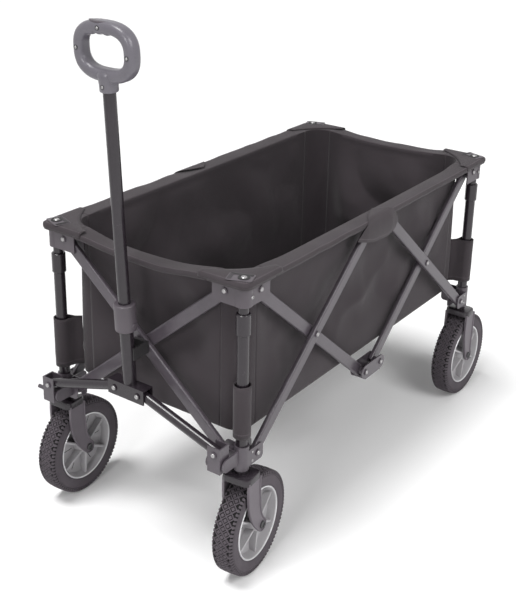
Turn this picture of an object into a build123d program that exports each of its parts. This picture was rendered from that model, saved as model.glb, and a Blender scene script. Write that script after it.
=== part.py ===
"""Collapsible four-wheel wagon with a fabric tub and a telescoping pull handle.

Millimetres, +Z up, ground at z = 0, handle end at -Y, origin on the ground midway between the posts.
"""
import os
from math import atan2, cos, degrees, hypot, radians, sin

from build123d import *

# Frame layout
post_span_x = 440.0
pivot_offset = 30.0
top_pivot_z = 578.0
bottom_pivot_z = 256.0
hub_pivot_spacing = 60.0
post_span_y = 2 * (post_span_x - 2 * pivot_offset) + hub_pivot_spacing + 2 * pivot_offset

# Fits
pin_clearance = 0.08
tube_clearance = 0.10
seat_clearance = 0.30

# Scissor bars
bar_width = 24.0
bar_thickness = 10.0
bar_wall = 1.5
bar_edge_radius = 3.5
layer_gap = 1.0
pin_radius = 3.0
rivet_radius = 6.5
rivet_height = 2.0
spacer_radius = 7.0

# Telescoping posts
post_radius = 11.0
post_wall = 1.5
post_bottom_z = 226.0
post_top_z = 540.0
ferrule_radius = 13.5
ferrule_length = 40.0
inner_tube_wall = 1.5
inner_tube_bottom_z = 335.0

# Corner brackets
plate = 2.5
clevis_room = 1.0
lower_sleeve_bottom_z = 233.0
lower_sleeve_top_z = 282.0
lower_wing_length = 46.0
lower_wing_height = 32.0
upper_block_radius = 15.5
upper_bottom_z = 555.0
upper_top_z = 598.0
upper_roof = 4.0
upper_arm_length = 57.0
socket_depth = 36.0
corner_screw_radius = 5.0
corner_screw_height = 1.0

# Mid hubs
hub_margin = 15.0
hub_web = 4.0

# Wheels and forks
wheel_radius = 102.0
tyre_width = 42.0
tyre_shoulder = 9.0
tread_groove = 3.0
rim_radius = 66.0
rim_width = 38.0
rim_wall = 5.0
rim_lip = 3.0
web_thickness = 5.0
hub_radius = 17.0
hub_width = 46.0
rib_count = 6
rib_width = 13.0
rib_height = 7.0
slot_width = 5.0
axle_radius = 5.0
axle_head_radius = 9.0
axle_head_height = 5.0
fork_room = 3.0
fork_arm = 5.0
fork_top_z = post_bottom_z - 0.4
fork_crown = 13.0
fork_foot_radius = 17.0
front_crown_radius = 28.0
rear_crown_radius = 22.0
front_trail = 32.0
rear_trail = 10.0
stem_length = 36.0
left_caster_turn = 2.5
right_caster_turn = 6.0

# Handle yoke and crossbar
cross_y = -488.0
cross_radius = 9.5
cross_wall = 1.5
cross_end_margin = 1.0
yoke_pivot_x = 204.0
yoke_pivot_z = 284.0
base_pivot_x = 28.0
base_pivot_z = 339.0
yoke_half_width = 14.0
yoke_cheek_top_z = 272.0
yoke_bottom_z = 248.0
yoke_top_z = 299.0
tilt_y = -486.0
tilt_z = 262.0
tilt_pin_radius = 4.0
ear_plate = 3.0
ear_gap = 2.5
ear_radius = 13.0
open_pivot_float = 22.0

# Handle
handle_lean = 3.0
base_half_length = 43.0
base_top_z = 354.0
base_height = 29.0
lower_tube_radius = 12.7
lower_tube_wall = 1.5
lower_tube_length = 140.0
collar_overlap = 30.0
collar_length = 53.0
collar_radius = 20.0
upper_tube_wall = 1.4
upper_tube_start = 100.0
upper_tube_end = 572.0
button_radius = 5.0
button_below_end = 18.0
button_proud = 1.6
button_length = 5.2
grip_centre = 615.0
grip_half_width = 66.0
grip_half_height = 51.0
grip_corner_radius = 46.0
grip_opening_half_width = 44.0
grip_opening_half_height = 28.0
grip_opening_radius = 25.0
grip_opening_rise = 1.0
grip_thickness = 28.0
grip_edge_radius = 9.0
grip_neck_radius = 16.0
grip_neck_start = 549.0

# Parking clip at the front crossing
clip_height = 24.0
clip_wall = 2.8
clip_reach = 40.0
clip_base = 7.0

# Fabric tub
tub_inset = 18.0
tub_corner_radius = 34.0
cloth = 3.0
tub_bottom_z = 292.0
tub_top_z = 600.0
hem_height = 26.0
hem_extra = 1.5
floor_thickness = 4.0
floor_gap = 0.5
cap_thickness = 2.2
cap_overhang = 19.0
cap_arm = 62.0
cap_width = 36.0
cap_hole_radius = 9.0
sleeve_bottom_z = 300.0
sleeve_top_z = 403.0
sleeve_radius = 16.5
flap_half_length = 66.0
flap_drop = 50.0

# Worked-out places
post_x = post_span_x / 2
post_y = post_span_y / 2
tub_half_x = post_x - tub_inset
tub_half_y = post_y - tub_inset
pivot_x = post_x - pivot_offset
pivot_y = post_y - pivot_offset
hub_y = hub_pivot_spacing / 2
layer_centre = (bar_thickness + layer_gap) / 2
clevis_inside = bar_thickness + layer_gap / 2 + clevis_room
clevis_outside = clevis_inside + plate
post_bore = post_radius - post_wall
stem_radius = post_bore - tube_clearance
inner_tube_radius = post_bore - tube_clearance
collar_start = lower_tube_length - collar_overlap
button_height = lower_tube_length - button_below_end
collar_bore = lower_tube_radius + tube_clearance
upper_tube_radius = lower_tube_radius - lower_tube_wall - tube_clearance
fork_inside = tyre_width / 2 + fork_room
fork_outside = fork_inside + fork_arm
cross_front = cross_radius + clevis_room
front_plane_y = -post_y
caster_turns = {"front_left": left_caster_turn, "front_right": right_caster_turn}
cap_bottom_z = upper_top_z + corner_screw_height + seat_clearance
corners = {
    "front_right": (1, -1),
    "front_left": (-1, -1),
    "rear_right": (1, 1),
    "rear_left": (-1, 1),
}

os.makedirs("parts", exist_ok=True)


def save(part, name):
    part.label = name
    export_step(part, f"parts/{name}.step")


def block(low, high, mode=Mode.ADD):
    """A box between two opposite corners, given in any order."""
    centre = [(a + b) / 2 for a, b in zip(low, high)]
    with Locations(tuple(centre)):
        Box(*[abs(b - a) for a, b in zip(low, high)], mode=mode)


def rod(start, direction, radius, length, mode=Mode.ADD):
    """A cylinder from a point along a direction."""
    with Locations(Plane(origin=start, z_dir=direction)):
        Cylinder(radius, length, align=(Align.CENTER, Align.CENTER, Align.MIN), mode=mode)


def clevis_pin(centre, normal, outer_layer):
    """A rivet across a clevis with a spacer that fills the bar layer it leaves empty."""
    centre, normal = Vector(*centre), Vector(*normal)
    reach = clevis_outside + rivet_height
    rod(centre - normal * clevis_outside, normal, pin_radius, 2 * clevis_outside)
    rod(centre + normal * clevis_inside, normal, rivet_radius, reach - clevis_inside)
    empty = -1 if outer_layer else 1
    spacer_length = clevis_inside - layer_gap / 2
    rod(centre + normal * (empty * layer_gap / 2), normal * empty, spacer_radius, spacer_length)


def wing(corner, along_x, low_z, high_z, length):
    """Two plates of a corner clevis, standing off both faces of the frame plane."""
    sx, sy = corner
    for side in (-1, 1):
        if along_x:
            low = (sx * post_x, sy * post_y + side * clevis_inside, low_z)
            high = (sx * (post_x - length), sy * post_y + side * clevis_outside, high_z)
        else:
            low = (sx * post_x + side * clevis_inside, sy * post_y, low_z)
            high = (sx * post_x + side * clevis_outside, sy * (post_y - length), high_z)
        block(low, high)


def corner_pins(corner, z, side_outer, end_outer):
    sx, sy = corner
    clevis_pin((sx * post_x, sy * pivot_y, z), (sx, 0, 0), side_outer)
    clevis_pin((sx * pivot_x, sy * post_y, z), (0, sy, 0), end_outer)


def yoke_ears(sx):
    """Ears in front of a lower corner that carry the pin the handle yoke tilts on."""
    inner = yoke_pivot_x - yoke_half_width - ear_gap - ear_plate
    outer = yoke_pivot_x + yoke_half_width + ear_gap
    ears = (inner, outer) if sx > 0 else (inner,)
    for ear in ears:
        ear_plane = Plane(origin=(sx * ear, tilt_y, tilt_z), x_dir=(0, -1, 0), z_dir=(-1, 0, 0))
        with BuildSketch(ear_plane) as outline:
            Circle(ear_radius)
            back = front_plane_y - clevis_inside - tilt_y
            with Locations((-back / 2, 0)):
                Rectangle(back, 2 * ear_radius)
        extrude(outline.sketch, amount=-sx * ear_plate)
    reach = outer + ear_plate - inner
    rod((sx * inner, tilt_y, tilt_z), (sx, 0, 0), tilt_pin_radius, reach + (0 if sx > 0 else open_pivot_float))


def lower_bracket(corner):
    sx, sy = corner
    with BuildPart() as bracket:
        low_z = bottom_pivot_z - lower_wing_height / 2
        high_z = bottom_pivot_z + lower_wing_height / 2
        post = (sx * post_x, sy * post_y, lower_sleeve_bottom_z)
        sleeve_height = lower_sleeve_top_z - lower_sleeve_bottom_z
        rod(post, (0, 0, 1), clevis_outside, sleeve_height)
        wing(corner, False, low_z, high_z, lower_wing_length)
        wing(corner, True, low_z, high_z, lower_wing_length)
        ends = bracket.edges().filter_by(Axis.X) + bracket.edges().filter_by(Axis.Y)
        outer_ends = [
            edge
            for edge in ends
            if edge.length < plate + 0.01
            and max(post_x - abs(edge.center().X), post_y - abs(edge.center().Y)) > lower_wing_length - 0.01
        ]
        fillet(outer_ends, lower_wing_height / 4)
        corner_pins(corner, bottom_pivot_z, True, sx > 0)
        if sy < 0:
            yoke_ears(sx)
        rod(post, (0, 0, 1), post_radius + tube_clearance, sleeve_height, Mode.SUBTRACT)
    return bracket.part


def post_outer(corner):
    sx, sy = corner
    with BuildPart() as tube:
        foot = (sx * post_x, sy * post_y, post_bottom_z)
        rod(foot, (0, 0, 1), post_radius, post_top_z - post_bottom_z)
        neck = (sx * post_x, sy * post_y, post_top_z - ferrule_length)
        rod(neck, (0, 0, 1), ferrule_radius, ferrule_length)
        rims = tube.edges().filter_by(GeomType.CIRCLE)
        chamfer([e for e in rims if abs(e.radius - ferrule_radius) < 0.01], 1.5)
        rod(foot, (0, 0, 1), post_bore, post_top_z - post_bottom_z, Mode.SUBTRACT)
    return tube.part


def post_inner(corner):
    sx, sy = corner
    with BuildPart() as tube:
        top = upper_bottom_z + socket_depth
        foot = (sx * post_x, sy * post_y, inner_tube_bottom_z)
        rod(foot, (0, 0, 1), inner_tube_radius, top - inner_tube_bottom_z)
        bore = inner_tube_radius - inner_tube_wall
        rod(foot, (0, 0, 1), bore, top - inner_tube_bottom_z, Mode.SUBTRACT)
    return tube.part


def upper_bracket(corner):
    sx, sy = corner
    with BuildPart() as bracket:
        post = (sx * post_x, sy * post_y, upper_bottom_z)
        rod(post, (0, 0, 1), upper_block_radius, upper_top_z - upper_bottom_z)
        wing(corner, False, upper_bottom_z, upper_top_z, upper_arm_length)
        wing(corner, True, upper_bottom_z, upper_top_z, upper_arm_length)
        roof_z = upper_top_z - upper_roof
        side_end = sy * (post_y - upper_arm_length)
        block(
            (sx * post_x - clevis_outside, sy * post_y, roof_z),
            (sx * post_x + clevis_outside, side_end, upper_top_z),
        )
        block(
            (sx * post_x, sy * post_y - clevis_outside, roof_z),
            (sx * (post_x - upper_arm_length), sy * post_y + clevis_outside, upper_top_z),
        )
        corner_pins(corner, top_pivot_z, False, sx < 0)
        rod(post, (0, 0, 1), inner_tube_radius + tube_clearance / 2, socket_depth, Mode.SUBTRACT)
        screw = (sx * post_x, sy * post_y, upper_top_z)
        rod(screw, (0, 0, 1), corner_screw_radius, corner_screw_height)
    return bracket.part


def scissor_bar(start, end, normal, outer_layer):
    """A flat tube between two pivots. The outer bar of a pair carries the crossing rivet."""
    start, end, normal = Vector(*start), Vector(*end), Vector(*normal)
    along = end - start
    shift = normal * (layer_centre if outer_layer else -layer_centre)
    centre = (start + end) * 0.5 + shift
    plane = Plane(origin=centre, x_dir=along, z_dir=normal)
    with BuildPart() as bar:
        with BuildSketch(plane):
            SlotCenterToCenter(along.length, bar_width)
        extrude(amount=bar_thickness / 2, both=True)
        fillet(bar.faces().sort_by(Axis(centre, normal))[-1].edges(), bar_edge_radius)
        fillet(bar.faces().sort_by(Axis(centre, normal))[0].edges(), bar_edge_radius)
        with Locations(plane):
            Box(
                along.length + 2 * bar_width,
                bar_width - 2 * bar_wall,
                bar_thickness - 2 * bar_wall,
                mode=Mode.SUBTRACT,
            )
        for pivot in (start, end):
            hole_start = pivot + shift - normal * bar_thickness
            rod(hole_start, normal, pin_radius + pin_clearance, 2 * bar_thickness, Mode.SUBTRACT)
        if outer_layer:
            reach = 1.5 * bar_thickness + layer_gap + rivet_height
            head = centre + normal * (bar_thickness / 2)
            rod(head, normal * -1, pin_radius, reach)
            rod(head, normal, rivet_radius, rivet_height)
        else:
            crossing = centre - normal * bar_thickness
            rod(crossing, normal, pin_radius + pin_clearance, 2 * bar_thickness, Mode.SUBTRACT)
    return bar.part


def mid_hub(sx, z, outer_layer):
    """Two slot-shaped plates that join the scissor pairs of one long side at mid length."""
    with BuildPart() as hub:
        for side in (-1, 1):
            face_x = sx * post_x + side * clevis_inside
            with BuildSketch(Plane(origin=(face_x, 0, z), x_dir=(0, 1, 0), z_dir=(1, 0, 0))):
                SlotCenterToCenter(hub_pivot_spacing, 2 * hub_margin)
            extrude(amount=side * plate)
        away = 1 if z > bottom_pivot_z else -1
        web_z = z + away * hub_margin
        block(
            (sx * post_x - clevis_outside, -hub_y, web_z - away * hub_web / 2),
            (sx * post_x + clevis_outside, hub_y, web_z + away * hub_web / 2),
        )
        for y in (-hub_y, hub_y):
            clevis_pin((sx * post_x, y, z), (sx, 0, 0), outer_layer)
    return hub.part


def wheel_axes(name):
    """Axle direction, trailing direction and axle centre of the wheel under a corner."""
    sx, sy = corners[name]
    turn = radians(caster_turns.get(name, 0.0))
    axle = Vector(cos(turn), sin(turn), 0)
    trail = Vector(-sin(turn), cos(turn), 0)
    length = front_trail if sy < 0 else rear_trail
    post = Vector(sx * post_x, sy * post_y, 0)
    return axle, trail, post, post + trail * length + Vector(0, 0, wheel_radius)


def fork(name):
    axle, trail, post, centre = wheel_axes(name)
    front = corners[name][1] < 0
    crown_radius = front_crown_radius if front else rear_crown_radius
    trail_length = front_trail if front else rear_trail
    crown_z = fork_top_z - fork_crown
    with BuildPart() as leg:
        for side in (-1, 1):
            inner = post + axle * (side * fork_inside)
            with BuildSketch(Plane(origin=inner, x_dir=trail, z_dir=axle)):
                with Locations((0, crown_z + fork_crown / 2)):
                    Rectangle(2 * crown_radius, fork_crown)
                with Locations((trail_length, wheel_radius)):
                    Circle(fork_foot_radius)
                make_hull()
            extrude(amount=side * fork_arm)
        with BuildSketch(Plane(origin=post + Vector(0, 0, crown_z), x_dir=axle, z_dir=(0, 0, 1))):
            RectangleRounded(2 * fork_outside, 2 * crown_radius, fork_arm)
        extrude(amount=fork_crown)
        rod(post + Vector(0, 0, fork_top_z), (0, 0, 1), stem_radius, stem_length)
        rod(centre - axle * fork_outside, axle, axle_radius, 2 * fork_outside)
        for side in (-1, 1):
            rod(centre + axle * (side * fork_outside), axle * side, axle_head_radius, axle_head_height)
    return leg.part


def rim(name):
    axle, trail, _, centre = wheel_axes(name)
    profile_plane = Plane(origin=centre, x_dir=axle, z_dir=trail * -1)
    with BuildPart() as wheel:
        with BuildSketch(profile_plane):
            half = rim_width / 2
            with Locations((0, rim_radius - rim_wall / 2)):
                Rectangle(rim_width, rim_wall)
            for side in (-1, 1):
                with Locations((side * (half - rim_lip / 2), rim_radius - rim_wall)):
                    Rectangle(rim_lip, 2 * rim_lip)
            bore = axle_radius + pin_clearance
            with Locations((0, (rim_radius + bore) / 2)):
                Rectangle(web_thickness, rim_radius - bore)
            with Locations((0, (hub_radius + bore) / 2)):
                Rectangle(hub_width, hub_radius - bore)
        revolve(axis=Axis(centre, axle))
        rib_inner = hub_radius - 2
        rib_outer = rim_radius - rim_wall + 1
        face = Plane(origin=centre, x_dir=trail, z_dir=axle)
        with BuildSketch(face):
            with PolarLocations((rib_inner + rib_outer) / 2, rib_count):
                Rectangle(rib_outer - rib_inner, rib_width)
        extrude(amount=web_thickness / 2 + rib_height, both=True)
        with BuildSketch(face):
            start = 180 / rib_count
            with PolarLocations((hub_radius + rib_outer) / 2, rib_count, start_angle=start):
                SlotOverall(rib_outer - hub_radius - 2 * slot_width, slot_width)
        extrude(amount=web_thickness, both=True, mode=Mode.SUBTRACT)
    return wheel.part


def tyre(name):
    axle, trail, _, centre = wheel_axes(name)
    seat = rim_radius + tube_clearance
    with BuildPart() as ring:
        with BuildSketch(Plane(origin=centre, x_dir=axle, z_dir=trail * -1)) as section:
            with Locations((0, (wheel_radius + seat) / 2)):
                Rectangle(tyre_width, wheel_radius - seat)
            tread = section.vertices().group_by(Axis.Y)[-1]
            fillet(tread, tyre_shoulder)
            fillet(section.vertices().group_by(Axis.Y)[0], tread_groove)
            for shift in (-tyre_width / 6, tyre_width / 6):
                with Locations((shift, wheel_radius)):
                    Rectangle(tread_groove, 2 * tread_groove, mode=Mode.SUBTRACT)
        revolve(axis=Axis(centre, axle))
    return ring.part


def crossbar(sx):
    """Half of the tube between the lower front corners, from yoke pivot to handle base pivot."""
    outer = Vector(sx * yoke_pivot_x, cross_y, yoke_pivot_z)
    inner = Vector(sx * base_pivot_x, cross_y, base_pivot_z)
    along = inner - outer
    middle = (outer + inner) * 0.5
    end_radius = cross_radius + cross_end_margin
    reach = along.length + 2 * end_radius
    with BuildPart() as tube:
        start = outer - along.normalized() * end_radius
        rod(start, along, cross_radius, reach)
        with BuildSketch(Plane(origin=middle, x_dir=along, z_dir=(0, 1, 0))):
            SlotCenterToCenter(along.length, 2 * end_radius)
        extrude(amount=2 * cross_radius, both=True, mode=Mode.INTERSECT)
        rod(start, along, cross_radius - cross_wall, reach, Mode.SUBTRACT)
        for pivot in (outer, inner):
            start = pivot - Vector(0, 2 * cross_radius, 0)
            rod(start, (0, 1, 0), pin_radius + pin_clearance, 4 * cross_radius, Mode.SUBTRACT)
    return tube.part


def cross_pin(x, z):
    """A rivet along Y through one end of a crossbar half, with a head on the front plate."""
    front = cross_y - cross_front - plate
    rod((x, front, z), (0, 1, 0), pin_radius, 2 * (cross_front + plate))
    rod((x, front, z), (0, -1, 0), rivet_radius, rivet_height)


def yoke_bracket(sx):
    front = cross_y - cross_front - plate
    back = cross_y + cross_front + plate
    low_x = yoke_pivot_x - yoke_half_width
    high_x = yoke_pivot_x + yoke_half_width
    with BuildPart() as yoke:
        for y in (front, back - plate):
            block((sx * low_x, y, yoke_bottom_z), (sx * high_x, y + plate, yoke_top_z))
        block((sx * (high_x - plate), front, yoke_bottom_z), (sx * high_x, back, yoke_top_z))
        block((sx * low_x, front, yoke_bottom_z), (sx * (low_x + plate), back, yoke_cheek_top_z))
        cross_pin(sx * yoke_pivot_x, yoke_pivot_z)
        rod(
            (sx * (low_x - plate), tilt_y, tilt_z),
            (sx, 0, 0),
            tilt_pin_radius + pin_clearance,
            2 * yoke_half_width + 2 * plate,
            Mode.SUBTRACT,
        )
    return yoke.part


lean = radians(handle_lean)
handle_foot = Vector(0, cross_y, base_top_z)
handle_up = Vector(0, -sin(lean), cos(lean))
handle_face = Vector(0, cos(lean), sin(lean))


def on_handle(distance):
    return handle_foot + handle_up * distance


def handle_stem():
    """Channel between the crossbar halves with the lower handle tube welded on top."""
    front = cross_y - cross_front - plate
    back = cross_y + cross_front + plate
    low_z = base_top_z - base_height
    with BuildPart() as stem:
        for y in (front, back - plate):
            block((-base_half_length, y, low_z), (base_half_length, y + plate, base_top_z))
        block((-base_half_length, front, base_top_z - plate), (base_half_length, back, base_top_z))
        for sx in (-1, 1):
            cross_pin(sx * base_pivot_x, base_pivot_z)
        rod(on_handle(-plate / 2), handle_up, lower_tube_radius, lower_tube_length + plate / 2)
        bore = lower_tube_radius - lower_tube_wall
        rod(on_handle(plate), handle_up, bore, lower_tube_length, Mode.SUBTRACT)
    return stem.part


def handle_collar():
    with BuildPart() as collar:
        rod(on_handle(collar_start), handle_up, collar_radius, collar_length)
        fillet(collar.edges().filter_by(GeomType.CIRCLE), 3)
        seat = lower_tube_length - collar_start
        rod(on_handle(collar_start), handle_up, collar_bore, seat, Mode.SUBTRACT)
        throat = upper_tube_radius + tube_clearance
        rod(on_handle(collar_start), handle_up, throat, collar_length, Mode.SUBTRACT)
        rod(on_handle(button_height), (1, 0, 0), button_radius + tube_clearance, 2 * collar_radius, Mode.SUBTRACT)
    return collar.part


def handle_button():
    with BuildPart() as button:
        tip = collar_radius + button_proud
        start = on_handle(button_height) + Vector(tip - button_length, 0, 0)
        rod(start, (1, 0, 0), button_radius, button_length)
        fillet(button.edges().sort_by(Axis.X)[-1], 1.2)
    return button.part


def handle_upper_tube():
    with BuildPart() as tube:
        length = upper_tube_end - upper_tube_start
        rod(on_handle(upper_tube_start), handle_up, upper_tube_radius, length)
        bore = upper_tube_radius - upper_tube_wall
        rod(on_handle(upper_tube_start), handle_up, bore, length, Mode.SUBTRACT)
    return tube.part


def handle_grip():
    with BuildPart() as grip:
        plane = Plane(origin=on_handle(grip_centre), x_dir=(1, 0, 0), z_dir=handle_face * -1)
        with BuildSketch(plane):
            RectangleRounded(2 * grip_half_width, 2 * grip_half_height, grip_corner_radius)
            with Locations((0, grip_opening_rise)):
                RectangleRounded(
                    2 * grip_opening_half_width, 2 * grip_opening_half_height, grip_opening_radius, mode=Mode.SUBTRACT
                )
        extrude(amount=grip_thickness / 2, both=True)
        fillet(grip.edges(), grip_edge_radius)
        neck_length = grip_centre - grip_opening_half_height - grip_neck_start - 8
        rod(on_handle(grip_neck_start), handle_up, grip_neck_radius, neck_length)
        socket = upper_tube_end - grip_neck_start + seat_clearance
        rod(on_handle(grip_neck_start), handle_up, upper_tube_radius + tube_clearance, socket, Mode.SUBTRACT)
    return grip.part


def handle_clip():
    """U-shaped snap clip on the front crossing that parks the handle."""
    crossing_z = (top_pivot_z + bottom_pivot_z) / 2
    low_z = crossing_z - clip_height / 2
    high_z = crossing_z + clip_height / 2
    bar_face = front_plane_y - layer_centre - bar_thickness / 2
    back = bar_face - rivet_height - seat_clearance
    jaw = lower_tube_radius + seat_clearance
    with BuildPart() as clip:
        block((-jaw - clip_wall, back - clip_base, low_z), (jaw + clip_wall, back, high_z))
        for side in (-1, 1):
            block((side * jaw, back, low_z), (side * (jaw + clip_wall), back - clip_reach, high_z))
        rod((0, back, crossing_z), (0, 1, 0), rivet_radius + 2 * clip_wall, rivet_height)
        rod((0, back, crossing_z), (0, 1, 0), rivet_radius + seat_clearance, rivet_height, Mode.SUBTRACT)
    return clip.part


def tub_corner(corner):
    """Cap over an upper bracket and loop round the post below it."""
    sx, sy = corner
    outer_x = post_x + cap_overhang
    outer_y = post_y + cap_overhang
    arm_x = outer_x - cap_overhang - cap_arm
    arm_y = outer_y - cap_overhang - cap_arm
    outline = [
        (outer_x, arm_y),
        (outer_x, outer_y),
        (arm_x, outer_y),
        (arm_x, outer_y - cap_width - cloth),
        (outer_x - cap_width - cloth, arm_y),
    ]
    with BuildSketch(Plane.XY.offset(cap_bottom_z)) as cap:
        with BuildLine():
            Polyline(*[(sx * x, sy * y) for x, y in outline], close=True)
        make_face()
        with Locations((sx * post_x, sy * post_y)):
            Circle(cap_hole_radius, mode=Mode.SUBTRACT)
    extrude(cap.sketch, amount=cap_thickness)
    post = (sx * post_x, sy * post_y, sleeve_bottom_z)
    height = sleeve_top_z - sleeve_bottom_z
    turn = degrees(atan2(sy, sx))
    inset = tub_corner_radius * (1 - cos(radians(45)))
    gap = hypot(post_x - tub_half_x + inset, post_y - tub_half_y + inset)
    middle = (
        sx * (post_x + tub_half_x - inset) / 2,
        sy * (post_y + tub_half_y - inset) / 2,
        (sleeve_bottom_z + sleeve_top_z) / 2,
    )
    with Locations(Location(middle, (0, 0, turn))):
        Box(gap + cloth, cloth, height)
    rod(post, (0, 0, 1), sleeve_radius, height)
    rod(post, (0, 0, 1), sleeve_radius - cloth, height, Mode.SUBTRACT)


def tub_bag():
    with BuildPart() as bag:
        with BuildSketch(Plane.XY.offset(tub_bottom_z)):
            RectangleRounded(2 * tub_half_x, 2 * tub_half_y, tub_corner_radius)
        extrude(amount=cap_bottom_z + cap_thickness - tub_bottom_z)
        hem_z = cap_bottom_z + cap_thickness - hem_height
        with BuildSketch(Plane.XY.offset(hem_z)):
            size = hem_extra
            RectangleRounded(2 * (tub_half_x + size), 2 * (tub_half_y + size), tub_corner_radius + size)
        extrude(amount=hem_height)
        with BuildSketch(Plane.XY.offset(tub_bottom_z)):
            size = -cloth
            RectangleRounded(2 * (tub_half_x + size), 2 * (tub_half_y + size), tub_corner_radius + size)
        extrude(amount=tub_top_z, mode=Mode.SUBTRACT)
        for corner in corners.values():
            tub_corner(corner)
        flap_x = post_x + clevis_outside + rivet_height + seat_clearance
        for sx in (-1, 1):
            block(
                (sx * (tub_half_x - cloth), -flap_half_length, cap_bottom_z),
                (sx * (flap_x + cloth), flap_half_length, cap_bottom_z + cap_thickness),
            )
            block(
                (sx * flap_x, -flap_half_length, cap_bottom_z - flap_drop),
                (sx * (flap_x + cloth), flap_half_length, cap_bottom_z),
            )
    return bag.part


def tub_floor(sx):
    """Half of the floor, inside the walls, up to the fold line in the middle."""
    inset = cloth + floor_gap
    half_x = tub_half_x - inset
    half_y = tub_half_y - inset
    with BuildPart() as panel:
        with BuildSketch(Plane.XY.offset(tub_bottom_z - floor_gap - floor_thickness)):
            RectangleRounded(2 * half_x, 2 * half_y, tub_corner_radius - inset)
            with Locations((sx * (half_x / 2 + floor_gap), 0)):
                Rectangle(half_x, 2 * half_y, mode=Mode.INTERSECT)
        extrude(amount=floor_thickness)
    return panel.part


# Corner posts, brackets and wheels
for corner_name, corner_signs in corners.items():
    save(lower_bracket(corner_signs), f"lower_bracket_{corner_name}")
    save(post_outer(corner_signs), f"post_outer_{corner_name}")
    save(post_inner(corner_signs), f"post_inner_{corner_name}")
    save(upper_bracket(corner_signs), f"upper_bracket_{corner_name}")
    save(fork(corner_name), f"fork_{corner_name}")
    save(rim(corner_name), f"rim_{corner_name}")
    save(tyre(corner_name), f"tyre_{corner_name}")

# Long-side scissors and their mid hubs
for side_name, sx in (("right", 1), ("left", -1)):
    for end_name, sy in (("front", -1), ("rear", 1)):
        corner_low = (sx * post_x, sy * pivot_y, bottom_pivot_z)
        corner_high = (sx * post_x, sy * pivot_y, top_pivot_z)
        mid_low = (sx * post_x, sy * hub_y, bottom_pivot_z)
        mid_high = (sx * post_x, sy * hub_y, top_pivot_z)
        outward = (sx, 0, 0)
        save(scissor_bar(corner_low, mid_high, outward, True), f"side_bar_rising_{end_name}_{side_name}")
        save(scissor_bar(corner_high, mid_low, outward, False), f"side_bar_falling_{end_name}_{side_name}")
    save(mid_hub(sx, top_pivot_z, True), f"mid_hub_top_{side_name}")
    save(mid_hub(sx, bottom_pivot_z, False), f"mid_hub_bottom_{side_name}")

# End scissors
for end_name, sy in (("front", -1), ("rear", 1)):
    outward = (0, sy, 0)
    for name, sx, outer_layer in (("outer", 1, True), ("inner", -1, False)):
        bottom = (sx * pivot_x, sy * post_y, bottom_pivot_z)
        top = (-sx * pivot_x, sy * post_y, top_pivot_z)
        save(scissor_bar(bottom, top, outward, outer_layer), f"end_bar_{name}_{end_name}")

# Crossbar, yoke and handle
for side_name, sx in (("right", 1), ("left", -1)):
    save(crossbar(sx), f"crossbar_{side_name}")
    save(yoke_bracket(sx), f"yoke_bracket_{side_name}")
    save(tub_floor(sx), f"tub_floor_{side_name}")
save(handle_stem(), "handle_stem")
save(handle_collar(), "handle_collar")
save(handle_button(), "handle_button")
save(handle_upper_tube(), "handle_upper_tube")
save(handle_grip(), "handle_grip")
save(handle_clip(), "handle_clip")

# Fabric tub
save(tub_bag(), "tub_bag")
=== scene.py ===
import math
from collections import namedtuple

import bmesh
import bpy
import numpy as np
from mathutils import Matrix, Vector, noise


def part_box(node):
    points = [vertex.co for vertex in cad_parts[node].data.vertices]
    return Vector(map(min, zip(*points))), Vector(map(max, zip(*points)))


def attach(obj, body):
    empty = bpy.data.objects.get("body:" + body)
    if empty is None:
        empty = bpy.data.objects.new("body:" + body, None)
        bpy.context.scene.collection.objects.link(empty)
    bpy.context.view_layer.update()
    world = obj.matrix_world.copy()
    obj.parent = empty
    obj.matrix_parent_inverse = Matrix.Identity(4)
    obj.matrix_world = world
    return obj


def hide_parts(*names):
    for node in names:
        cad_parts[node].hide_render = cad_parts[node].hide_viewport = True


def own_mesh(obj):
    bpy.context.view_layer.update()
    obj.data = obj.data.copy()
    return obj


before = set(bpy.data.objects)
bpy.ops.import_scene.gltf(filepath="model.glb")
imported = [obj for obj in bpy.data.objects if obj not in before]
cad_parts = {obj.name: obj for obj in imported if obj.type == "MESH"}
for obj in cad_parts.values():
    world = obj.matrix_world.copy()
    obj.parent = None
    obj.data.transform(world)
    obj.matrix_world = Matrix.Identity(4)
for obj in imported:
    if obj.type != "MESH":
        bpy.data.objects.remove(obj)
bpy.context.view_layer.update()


# Shader maths


class Wire:
    """An output socket, so that shader maths reads as a Python expression."""

    def __init__(self, finish, socket):
        self.finish = finish
        self.socket = socket

    def maths(self, operation, first, second=0.0):
        return self.finish.add("ShaderNodeMath", {"operation": operation}, {0: first, 1: second})

    def __add__(self, other):
        return self.maths("ADD", self, other)

    __radd__ = __add__

    def __sub__(self, other):
        return self.maths("SUBTRACT", self, other)

    def __rsub__(self, other):
        return self.maths("SUBTRACT", other, self)

    def __mul__(self, other):
        return self.maths("MULTIPLY", self, other)

    __rmul__ = __mul__

    def __pow__(self, other):
        return self.maths("POWER", self, other)

    def __lt__(self, other):
        return self.maths("LESS_THAN", self, other)

    def __abs__(self):
        return self.maths("ABSOLUTE", self)

    def __mod__(self, other):
        return self.maths("FLOORED_MODULO", self, other)

    def wave(self, pitch):
        return self.maths("SINE", self * (2 * math.pi / pitch))


MIX_COLOUR_A = 6
MIX_COLOUR_B = 7
MIX_COLOUR_OUT = 2


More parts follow.
